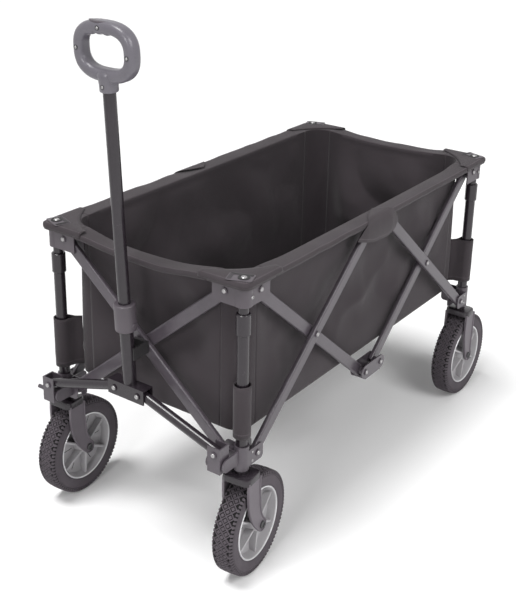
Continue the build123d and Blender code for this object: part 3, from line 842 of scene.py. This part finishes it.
def tread_ridge(centre, axle, turn, lean):
    """A slanting ridge across the tread, between two rows of diamonds."""
    path = np.linspace(-TREAD_EDGE, TREAD_EDGE, 8)

    def section(k):
        a = path[k]
        return [
            on_wheel(centre, axle, crowned(radius, a), turn + (lean * a + shift) / WHEEL_R, a)
            for shift, radius in RIDGE
        ]

    return sweep(len(path), section)


SHOULDER_TOP = ((0.0165, 0.1010), (0.0186, 0.1004), (0.0199, 0.0990), (0.0206, 0.0968), (0.0207, 0.0938))
SHOULDER_LOW = ((0.0165, 0.0970), (0.0176, 0.0968), (0.0186, 0.0960), (0.0193, 0.0948), (0.0196, 0.0930))
SHOULDER_WIDE = (1.0, 1.0, 0.96, 0.86, 0.66)


def shoulder_lug(centre, axle, turn, side, half):
    """A lug that wraps over the tyre's shoulder to the sidewall."""
    points = []
    for (a1, r1), (a0, r0), share in zip(SHOULDER_TOP, SHOULDER_LOW, SHOULDER_WIDE):
        wide = half * share
        for axial, radius, edge in ((a0, r0, -1.10), (a1, r1, -0.9), (a1, r1, 0.9), (a0, r0, 1.10)):
            points.append(on_wheel(centre, axle, radius, turn + wide * edge / WHEEL_R, side * axial))
    return points, tube_faces(len(SHOULDER_TOP), 4)


def make_tyre(name, body):
    centre, axle = wheel_frame(name)
    half = [(0.0, 0.0985), (0.0150, 0.0982), (0.0182, 0.0975), (0.0196, 0.0958), (0.0200, 0.0938)]
    half += [(0.0203, 0.0926), (0.0192, 0.0918), (0.0203, 0.0910), (0.0205, 0.0860), (0.0205, 0.0780)]
    half += [(0.0203, 0.0745), (0.0194, 0.0726), (0.0180, SEAT_R)]
    parts = [lathe(mirrored(half)[:-1], centre, axle, TYRE_SEGMENTS, ring=True)]
    pitch = 2 * math.pi / TREAD_PITCHES
    for k in range(TREAD_PITCHES):
        for column in range(TREAD_COLUMNS):
            axial = (column - TREAD_COLUMNS // 2) * TREAD_STEP
            parts.append(tread_block(centre, axle, (k + 0.5 * ((column + 1) % 2)) * pitch, axial))
        for side in (-1, 1):
            parts.append(tread_ridge(centre, axle, (k + 0.5) * pitch, side))
            for shift in (0.0, 0.5):
                parts.append(shoulder_lug(centre, axle, (k + shift) * pitch, side, 0.15 * pitch * WHEEL_R))
    moulded("tyre_tread_" + name, parts, tyre_foam, body, "tyre_" + name, TYRE_SMOOTH)
    # A near-black shell just over the tread floor, between the blocks: painted shade in the grooves
    floor = [(a, r + 0.0005) for a, r in half[:5]]
    band = [(-a, r) for a, r in floor[:0:-1]] + floor + [(0.0150, 0.0938), (-0.0150, 0.0938)]
    grooves = lathe(band, centre, axle, TYRE_SEGMENTS, ring=True)
    moulded("tread_floor_shade_" + name, [grooves], painted_groove_shade, body, "tyre_" + name, TYRE_SMOOTH)


RIM_R = 0.0712
RIM_SEGMENTS = 96
WEB = 0.0016
SPOKES = 6
# Span along the radius, width, and crest at both ends
SPOKE = ((0.0145, 0.0655), 0.0046, (0.0185, 0.0150))
# Near-black strips on the web between the spokes: painted shade standing for the rim's slots
SLIT_SHADE = ((0.0265, 0.0575), 0.0020, (0.0019, 0.0019))


def radial_strip(centre, axle, side, turn, span, width, crests):
    """A strip on the rim's web along a radius, whose crest slopes from the hub to the barrel."""
    along = UP.cross(axle) * math.cos(turn) + UP * math.sin(turn)
    across = axle.cross(along)

    def section(k):
        foot = WEB - 0.001
        shoulder = crests[k] - 0.0006
        outline = mirrored([(-0.5, foot), (-0.5, shoulder), (-0.3, crests[k])])
        spot = centre + along * span[k]
        return [spot + across * (shift * width) + axle * (side * axial) for shift, axial in outline]

    return sweep(len(span), section)


def make_rim(name, body):
    centre, axle = wheel_frame(name)
    half = [(0.0205, 0.0062), (0.0210, 0.0080), (0.0205, 0.0135), (0.0188, 0.0152), (0.0040, 0.0184)]
    half += [(WEB, 0.0200), (WEB, 0.0610), (0.0030, 0.0634), (0.0180, 0.0674), (0.0190, 0.0688)]
    half += [(0.0190, 0.0706), (0.0184, RIM_R)]
    parts = [lathe(mirrored(half), centre, axle, RIM_SEGMENTS, ring=True)]
    slit_shades = []
    for side in (-1, 1):
        for k in range(SPOKES):
            middle = 2 * math.pi * (k + 0.5) / SPOKES
            parts.append(radial_strip(centre, axle, side, middle, *SPOKE))
            between = middle + math.pi / SPOKES
            slit_shades.append(radial_strip(centre, axle, side, between, *SLIT_SHADE))
    moulded("rim_face_" + name, parts, rim_plastic, body, "rim_" + name, 38.0)
    # near-black strips between the spokes: painted shade of the slots in the web
    moulded("rim_slit_shade_" + name, slit_shades, dark_inlay_and_painted_shade, body, smooth_angle=40.0)
    ring = [(0.0186, 0.0682), (0.0198, 0.0685), (0.0204, 0.0697), (0.0200, 0.0710), (0.0186, 0.0716)]
    rings = []
    for side in (-1, 1):
        rings.append(lathe([(side * a, r) for a, r in ring], centre, axle, RIM_SEGMENTS, ring=True))
    moulded("rim_ring_" + name, rings, rim_edge, body, smooth_angle=40.0)


# Forks

FORK_IN = 0.0240
FORK_OUT = 0.0290
CROWN_LOW = 0.2126
CROWN_HIGH = 0.2256
STEM_R = 0.0092
STEM_HIGH = 0.2610
FOOT_R = 0.0135
ARM_ROOT = 0.003
ARM_BEND_Z = 0.138
ARM_HALF = 0.0215
ARM_LIP = 0.0030
CROWN_CORNER = 0.011
CROWN_EDGE = 0.003
SHANK_R = 0.0048
BOLT_HEAD = [(-0.0022, TIP), (-0.0022, 0.0074), (0.0008, 0.0074), (0.0016, 0.0066)]
BOLT_HEAD += [(0.0016, 0.0050), (-0.0006, 0.0046), (-0.0008, TIP)]
LIP_STEPS = ((0.2, 0.0), (0.75, 0.0), (1.0, -0.0018))
# Trail, lean of the arms, and half length of the crown
CASTER_FORK = (0.032, 0.004, 0.0245)
FIXED_FORK = (0.010, 0.003, 0.0215)


def arm_line(trail, lean, samples=22):
    """(fore, height, half width) points down a fork's arm and round its foot."""
    start = (-trail + ARM_ROOT, CROWN_LOW + ARM_ROOT)
    bend = (-trail - lean, ARM_BEND_Z)
    end = (0.0, WHEEL_R)
    line = []
    for k in range(samples):
        t = k / (samples - 1)
        shares = ((1 - t) ** 2, 2 * t * (1 - t), t * t)
        fore, height = (sum(w * v for w, v in zip(shares, trio)) for trio in zip(start, bend, end))
        line.append((fore, height, lerp(ARM_HALF, FOOT_R + 0.0005, smoothstep(0.25, 0.95, t))))
    run = Vector((end[0] - bend[0], end[1] - bend[1])).normalized()
    for k in range(1, 9):
        turn = math.radians(min(11 * k, 87))
        reach = FOOT_R * math.sin(turn)
        line.append((end[0] + run.x * reach, end[1] + run.y * reach, FOOT_R * math.cos(turn)))
    return line


def fork_arm(centre, axle, side, line):
    """A curved arm with a raised lip round its outer face."""
    fore = UP.cross(axle)
    ground = Vector((centre.x, centre.y, 0))

    def section(k):
        f0, z0, _ = line[max(k - 1, 0)]
        f1, z1, _ = line[min(k + 1, len(line) - 1)]
        run = math.hypot(f1 - f0, z1 - z0)
        across = (fore * (z1 - z0) - UP * (f1 - f0)) / run
        f, z, wide = line[k]
        spot = ground + fore * f + UP * z
        lip = min(ARM_LIP, 0.6 * wide)
        steps = [(-wide, FORK_IN), (-wide, FORK_OUT - 0.0006)]
        steps += [(-wide + lip * share, FORK_OUT + rise) for share, rise in LIP_STEPS]
        return [spot + across * offset + axle * (side * axial) for offset, axial in mirrored(steps)]

    return sweep(len(line), section)


def make_fork(name, body, trail, lean, crown_half):
    """A fork's two arms, its crown with the stem, and the axle bolt."""
    centre, axle = wheel_frame(name)
    fore = UP.cross(axle)
    post = Vector((centre.x, centre.y, 0)) - fore * trail
    line = arm_line(trail, lean)
    arms = [fork_arm(centre, axle, side, line) for side in (-1, 1)]
    plan = rounded_box(FORK_OUT, crown_half, CROWN_CORNER)
    crown = outline_prism(plan, post + UP * CROWN_LOW, axle, fore, UP, CROWN_HIGH - CROWN_LOW, CROWN_EDGE)
    stem = [(CROWN_LOW + 0.002, TIP), (CROWN_LOW + 0.002, STEM_R)]
    stem += [(STEM_HIGH, STEM_R), (STEM_HIGH + 0.0004, TIP)]
    bolts = [lathe(BOLT_HEAD, centre + axle * (side * FORK_OUT), axle * side, 28) for side in (-1, 1)]
    shank = [(-FORK_OUT, TIP), (-FORK_OUT, SHANK_R), (FORK_OUT, SHANK_R), (FORK_OUT, TIP)]
    bolts.append(lathe(shank, centre, axle, 20))
    node = "fork_" + name
    moulded("fork_arms_" + name, arms, fork_plastic, body, node, 42.0)
    top = [crown, lathe(stem, post, UP, 24)]
    moulded("fork_crown_" + name, top, post_paint, body, node, 40.0)
    moulded("axle_bolt_" + name, bolts, bolt_steel, body, node, 40.0)


for corner_name, (_, corner_sy) in CORNERS.items():
    make_tyre(corner_name, "wheel_" + corner_name)
    make_rim(corner_name, "wheel_" + corner_name)
    if corner_sy < 0:
        make_fork(corner_name, "caster_" + corner_name, *CASTER_FORK)
    else:
        make_fork(corner_name, "lower_" + corner_name, *FIXED_FORK)


# Handle

HANDLE_FOOT = Vector((0, -0.488, 0.354))
HANDLE_LEAN = math.radians(3.0)
HANDLE_UP = Vector((0, -math.sin(HANDLE_LEAN), math.cos(HANDLE_LEAN)))
HANDLE_FACE = Vector((0, -math.cos(HANDLE_LEAN), -math.sin(HANDLE_LEAN)))
ACROSS = Vector((1, 0, 0))
GRIP_AT = 0.615
GRIP_HALF = (0.0658, 0.0508)
OPENING_HALF = (0.0440, 0.0280)
OPENING_RISE = 0.0010
GRIP_DEPTH = 0.0138
FINGER_SPAN = (-0.031, 0.017)
FINGER_PITCH = 0.016
FINGER_DEPTH = 0.0026
GRIP_TURNS = 200
GRIP_AROUND = 28
GROOVE = 0.0007
REST_AT = (GRIP_AT + GRIP_HALF[1] - 0.0040, -0.008, 0.004)
REST_HALF = (0.022, 0.0080)
REST_RAISED = 0.0030
REST_EDGE = 0.0008


def on_handle(run, across=0.0, out=0.0):
    """A place up the handle from its foot, across it and out of its face."""
    return HANDLE_FOOT + HANDLE_UP * run + ACROSS * across + HANDLE_FACE * out


def squared(value, power):
    """A power that keeps the sign, which squares up a circle."""
    return math.copysign(abs(value) ** power, value)


def grip_edges(turn):
    """Outer and inner points of the loop at a turn, with three finger waves along the top of the opening."""
    c, s = math.cos(turn), math.sin(turn)
    outer = Vector((GRIP_HALF[0] * squared(c, 0.78), GRIP_HALF[1] * squared(s, 0.78)))
    inner = Vector((OPENING_HALF[0] * squared(c, 0.70), OPENING_RISE + OPENING_HALF[1] * squared(s, 0.70)))
    if s > 0.5 and FINGER_SPAN[0] < inner.x < FINGER_SPAN[1]:
        inner.y -= FINGER_DEPTH * abs(math.sin(math.pi * (inner.x - FINGER_SPAN[0]) / FINGER_PITCH))
    return outer, inner


def grip_ring():
    """The loop of the grip: two moulded halves that meet at a fine groove."""

    def section(k):
        outer, inner = grip_edges(2 * math.pi * k / GRIP_TURNS)
        middle = (outer + inner) / 2
        half = (outer - inner).length / 2
        toward = (outer - inner).normalized()
        points = []
        for s in range(GRIP_AROUND):
            a = 2 * math.pi * s / GRIP_AROUND
            groove = GROOVE if s in (0, GRIP_AROUND // 2) else 0.0
            flat = middle + toward * ((half - groove) * squared(math.cos(a), 0.80))
            points.append(on_handle(GRIP_AT + flat.y, flat.x, GRIP_DEPTH * squared(math.sin(a), 0.80)))
        return points

    return sweep(GRIP_TURNS, section, ring=True)


def leaf(half_length, half_width, count=26):
    """Outline of a pointed oval."""
    outline = []
    for k in range(count):
        turn = 2 * math.pi * k / count
        x = math.cos(turn)
        outline.append((half_length * x, half_width * math.sin(turn) * (1 - 0.55 * abs(x) ** 3)))
    return outline


def make_grip():
    neck = [(0.549, 0.0125), (0.549, 0.0150), (0.5505, 0.0160), (0.562, 0.0162)]
    neck += [(0.570, 0.0172), (0.578, 0.0186), (0.583, 0.0150), (0.583, 0.0125)]
    parts = [grip_ring(), lathe(neck, on_handle(0.0), HANDLE_UP, 40, ring=True)]
    moulded("grip_loop", parts, grip_plastic, "handle_upper", "handle_grip", 50.0)
    rest = on_handle(*REST_AT)
    pad = outline_prism(leaf(*REST_HALF), rest, ACROSS, -HANDLE_FACE, HANDLE_UP, REST_RAISED, REST_EDGE)
    moulded("grip_thumb_rest", [pad], bracket_plastic, "handle_upper", smooth_angle=40.0)


make_grip()


# Small fittings

HEAD_SEGMENTS = 20
RIVET_R = 0.0042
RIVET_RISE = 0.0017
RIVET_DOME = ((0.3, 1.0), (0.7, 0.88), (0.92, 0.6), (1.0, 0.3))
# Radius and rise of the screw heads, then their distance from the post and from the bars' pivot
UPPER_SCREW = (0.0034, 0.0018)
LOWER_SCREW = (0.0027, 0.0014)
BLOCK_SCREW = (0.004, 0.006)
WING_SCREW = (0.014, 0.009)
PIN_FACE = WING_OUT + 0.0020
BAR_FACE = 0.0125
BLOCK_OUT = 0.0155


def pan_head(centre, axis, radius, height):
    """A domed screw head with a sunk middle."""
    dome = [(-0.0006, TIP), (-0.0006, radius * 0.98), (height * 0.35, radius)]
    dome += [(height * 0.75, radius * 0.84), (height, radius * 0.5), (height * 0.98, radius * 0.34)]
    dome += [(height * 0.5, radius * 0.26), (height * 0.45, TIP)]
    return lathe(dome, centre, axis, HEAD_SEGMENTS)


def rivet_head(centre, axis):
    dome = [(-0.0012, TIP), (-0.0012, RIVET_R)]
    dome += [(RIVET_RISE * rise, RIVET_R * share) for rise, share in RIVET_DOME]
    return lathe(dome + [(RIVET_RISE, TIP)], centre, axis, HEAD_SEGMENTS)


CAP_TURN = math.radians(20.0)
CAP_PLATE = (0.0230, 0.0160)
CAP_LINES = (0.0024, 0.0052, 0.0080)
CAP_TOP = RIM_Z + 0.0050
CAP_SHIFT = (-0.006, 0.001)
CAP_CORNER = 0.004
CAP_RAISED = 0.0008
CAP_EDGE = 0.0005
CAP_SCREW = (0.0056, 0.0024)
LINE_R = 0.0007
LINE_END = 0.003
# Ring round the cap screw, near-black: painted shade in the recess
CAP_RING = [(0.0002, TIP), (0.0002, 0.0110), (0.0020, 0.0106)]
CAP_RING += [(0.0022, 0.0096), (0.0011, 0.0084), (0.0010, TIP)]


def cap_fittings(name, sx, sy):
    """Embossed plate, sunk ring painted near-black as shade, and screw on a corner cap."""
    body = "upper_" + name
    along = Vector((sx * math.cos(CAP_TURN), -sy * math.sin(CAP_TURN), 0))
    inward = Vector((-sx * math.sin(CAP_TURN), -sy * math.cos(CAP_TURN), 0))
    screw = Vector((sx * POST_X, sy * POST_Y, CAP_TOP))
    middle = screw + along * CAP_SHIFT[0] + inward * CAP_SHIFT[1]
    outline = rounded_box(*CAP_PLATE, CAP_CORNER)
    plate = outline_prism(outline, middle, along, inward, UP, CAP_RAISED, CAP_EDGE)
    lines = []
    for step in CAP_LINES:
        left = -CAP_PLATE[0] + step
        back = CAP_PLATE[1] - step
        bends = ((left, LINE_END - CAP_PLATE[1]), (left, back), (CAP_PLATE[0] - LINE_END, back))
        path = [middle + along * u + inward * v + UP * CAP_RAISED for u, v in bends]
        for start, end in zip(path[:-1], path[1:]):
            reach = (end - start).length
            lines.append(lathe([(0.0, LINE_R), (reach, LINE_R)], start, end - start, 6))
    moulded("cap_emboss_" + name, [plate], bracket_plastic, body)
    moulded("cap_lines_" + name, lines, dark_inlay_and_painted_shade, body)
    # the sunk ring is near-black: painted shade in the recess round the screw
    moulded("cap_ring_shade_" + name, [lathe(CAP_RING, screw, UP, 36)], dark_inlay_and_painted_shade, body)
    head = pan_head(screw + UP * 0.0009, UP, *CAP_SCREW)
    moulded("cap_screw_" + name, [head], zinc, body)


def corner_rivets(name, sx, sy):
    """Rivets of the bars at a corner, and the small screws beside the post."""
    for level, z in (("upper_", TOP_Z), ("lower_", BOTTOM_Z)):
        heads = [
            rivet_head((sx * (POST_X + PIN_FACE), sy * CORNER_PIVOT_Y, z), (sx, 0, 0)),
            rivet_head((sx * BAR_PIVOT_X, sy * (POST_Y + PIN_FACE), z), (0, sy, 0)),
        ]
        if level == "upper_":
            side = (sx * (POST_X + BLOCK_OUT), sy * (POST_Y - BLOCK_SCREW[0]), z - BLOCK_SCREW[1])
            heads.append(pan_head(side, (sx, 0, 0), *UPPER_SCREW))
        else:
            for dz in (WING_SCREW[1], -WING_SCREW[1]):
                side = (sx * (POST_X + WING_OUT), sy * (POST_Y - WING_SCREW[0]), z + dz)
                heads.append(pan_head(side, (sx, 0, 0), *LOWER_SCREW))
        moulded(level + "rivets_" + name, heads, zinc, level + name)


def side_rivets(side, sx):
    """Rivets of the mid hubs and of the scissor crossings along a side."""
    for level, z in (("mid_top_", TOP_Z), ("mid_bottom_", BOTTOM_Z)):
        spots = [(sx * (POST_X + PIN_FACE), end * HUB_PIVOT_Y, z) for end in (-1, 1)]
        heads = [rivet_head(spot, (sx, 0, 0)) for spot in spots]
        moulded(level + "rivets_" + side, heads, zinc, level + side)
    for end, sy in (("front", -1), ("rear", 1)):
        spot = (sx * (POST_X + BAR_FACE), sy * CROSSING_Y, CROSSING_Z)
        head = rivet_head(spot, (sx, 0, 0))
        moulded(f"crossing_rivet_{end}_{side}", [head], zinc, f"rising_{end}_{side}")


CROSSBAR_FACE_Y = -0.503
YOKE_X = 0.204
YOKE_Z = 0.284
BASE_X = 0.028
BASE_Z = 0.339

for corner_name, (corner_sx, corner_sy) in CORNERS.items():
    cap_fittings(corner_name, corner_sx, corner_sy)
    corner_rivets(corner_name, corner_sx, corner_sy)
for side_name, side_sx in (("right", 1), ("left", -1)):
    side_rivets(side_name, side_sx)
    yoke = rivet_head((side_sx * YOKE_X, CROSSBAR_FACE_Y, YOKE_Z), (0, -1, 0))
    moulded("yoke_rivet_" + side_name, [yoke], zinc, "yoke_" + side_name)

base_rivets = [rivet_head((end * BASE_X, CROSSBAR_FACE_Y, BASE_Z), (0, -1, 0)) for end in (-1, 1)]
moulded("handle_base_rivets", base_rivets, zinc, "handle_lower")

GRIP_SCREWS = ((0.0395, -0.004), (0.002, -0.0548), (-0.002, 0.0548), (-0.0395, -0.002), (-0.0560, 0.0))
# Cup round each grip screw, near-black: painted shade in the screw's seat
SCREW_CUP = [(-0.0010, TIP), (-0.0010, 0.0042), (0.0012, 0.0040)]
SCREW_CUP += [(0.0014, 0.0033), (0.0006, 0.0030), (0.0006, TIP)]
GRIP_SCREW = (0.0026, 0.0012)
NECK_SEAT = 0.0150
LOOP_SEAT = 0.0130
grip_screws = []
grip_seat_shades = []
for grip_up, grip_across in GRIP_SCREWS:
    depth = NECK_SEAT if grip_up < -0.05 else LOOP_SEAT
    seat = on_handle(GRIP_AT + grip_up, grip_across, depth)
    grip_screws.append(pan_head(seat + HANDLE_FACE * 0.0012, HANDLE_FACE, *GRIP_SCREW))
    grip_seat_shades.append(lathe(SCREW_CUP, seat, HANDLE_FACE, 24))
moulded("grip_screws", grip_screws, zinc, "handle_upper")
# near-black cups: painted shade in the seats of the grip screws
moulded("grip_screw_seat_shade", grip_seat_shades, dark_inlay_and_painted_shade, "handle_upper")


# Finishes of the solids that show

SATIN = ("side_bar_", "end_bar_", "mid_hub_", "lower_bracket_", "yoke_bracket_")
GLOSSY = ("post_", "crossbar_", "handle_stem", "handle_upper_tube")


def solid_finish(node):
    if node.startswith(SATIN):
        return frame_paint
    if node.startswith(GLOSSY):
        return post_paint
    # the handle clip takes the near-black painted shade
    return clip_painted_shade if node == "handle_clip" else bracket_plastic


for node_name, node_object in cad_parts.items():
    node_object.data.materials.clear()
    node_object.data.materials.append(solid_finish(node_name))


# Floor, light and camera

FLOOR_PAPER = (0.97, 0.97, 0.97, 1)
FLOOR_GLOW = 0.05
FLOOR_HALF = 14
FLOOR_Z = -0.0004
SKY_LEVEL = 0.24
SOFTBOX_AIM = Vector((0, 0, 0.4))


def studio_floor():
    signs = ((-1, -1), (1, -1), (1, 1), (-1, 1))
    points = [(x * FLOOR_HALF, y * FLOOR_HALF, FLOOR_Z) for x, y in signs]
    mesh = bpy.data.meshes.new("studio_floor")
    mesh.from_pydata(points, [], [(0, 1, 2, 3)])
    finish = Finish("studio_floor")
    seen = finish.add("ShaderNodeLightPath", out="Is Camera Ray")
    paper = finish.add("ShaderNodeBsdfDiffuse", None, {"Color": FLOOR_PAPER})
    glow = finish.add("ShaderNodeEmission", None, {"Color": (1, 1, 1, 1), "Strength": seen * FLOOR_GLOW})
    both = finish.add("ShaderNodeAddShader", None, {0: paper, 1: glow})
    finish.add("ShaderNodeOutputMaterial", None, {"Surface": both})
    mesh.materials.append(finish.holder)
    new_object("studio_floor", mesh)


def studio_world():
    finish = Finish("studio_world", bpy.data.worlds)
    seen = finish.add("ShaderNodeLightPath", out="Is Camera Ray")
    mirrored = finish.add("ShaderNodeLightPath", out="Is Glossy Ray")
    through = finish.add("ShaderNodeLightPath", out="Is Transmission Ray")
    level = SKY_LEVEL + (seen + mirrored + through) * (1 - SKY_LEVEL)
    sky = finish.add("ShaderNodeBackground", None, {"Color": (1, 1, 1, 1), "Strength": level})
    finish.add("ShaderNodeOutputWorld", None, {"Surface": sky})
    bpy.context.scene.world = finish.holder


def direction(azimuth, height):
    """Unit vector away from the wagon, by degrees round from its front and up."""
    turn = math.radians(azimuth)
    level = math.cos(math.radians(height))
    return Vector((math.sin(turn) * level, -math.cos(turn) * level, math.sin(math.radians(height))))


def lamp(name, kind, away, power, **settings):
    """A lamp that shines from the direction away."""
    light = bpy.data.lights.new(name, kind)
    light.energy = power
    for key, value in settings.items():
        setattr(light, key, value)
    obj = new_object(name, light)
    obj.rotation_euler = (-away).to_track_quat("-Z", "Y").to_euler()
    return obj


def softbox(name, place, size, power):
    box = lamp(name, "AREA", Vector(place) - SOFTBOX_AIM, power, shape="SQUARE", size=size)
    box.location = place


SENSOR = 36.0
PHOTO_PIXELS = 606
FOCAL_PIXELS = 1093.13
SHIFT_PIXELS = -60.0
CAMERA_AZIMUTH = 35.41
CAMERA_HEIGHT = 21.75
CAMERA_ROLL = math.radians(1.13)
CAMERA_PLACE = (1.20955, -1.78795, 1.33524)


def photo_camera():
    back = direction(CAMERA_AZIMUTH, CAMERA_HEIGHT)
    right = direction(CAMERA_AZIMUTH + 90, 0)
    up = back.cross(right)
    turned_right = right * math.cos(CAMERA_ROLL) + up * math.sin(CAMERA_ROLL)
    turned_up = up * math.cos(CAMERA_ROLL) - right * math.sin(CAMERA_ROLL)
    lens = bpy.data.cameras.new("photo_camera")
    lens.sensor_width = SENSOR
    lens.lens = FOCAL_PIXELS / PHOTO_PIXELS * SENSOR
    lens.shift_y = SHIFT_PIXELS / PHOTO_PIXELS
    camera = new_object("photo_camera", lens)
    place = Matrix((turned_right, turned_up, back)).transposed().to_4x4()
    place.translation = CAMERA_PLACE
    camera.matrix_world = place
    bpy.context.scene.camera = camera


studio_floor()
studio_world()
lamp("key", "SUN", direction(-28, 70), 2.55, angle=math.radians(24))
softbox("side", (2.5, -0.5, 2.4), 1.6, 50)
softbox("strip", (0.6, -3.2, 2.0), 0.7, 26)
photo_camera()
bpy.context.scene.view_settings.view_transform = "Standard"
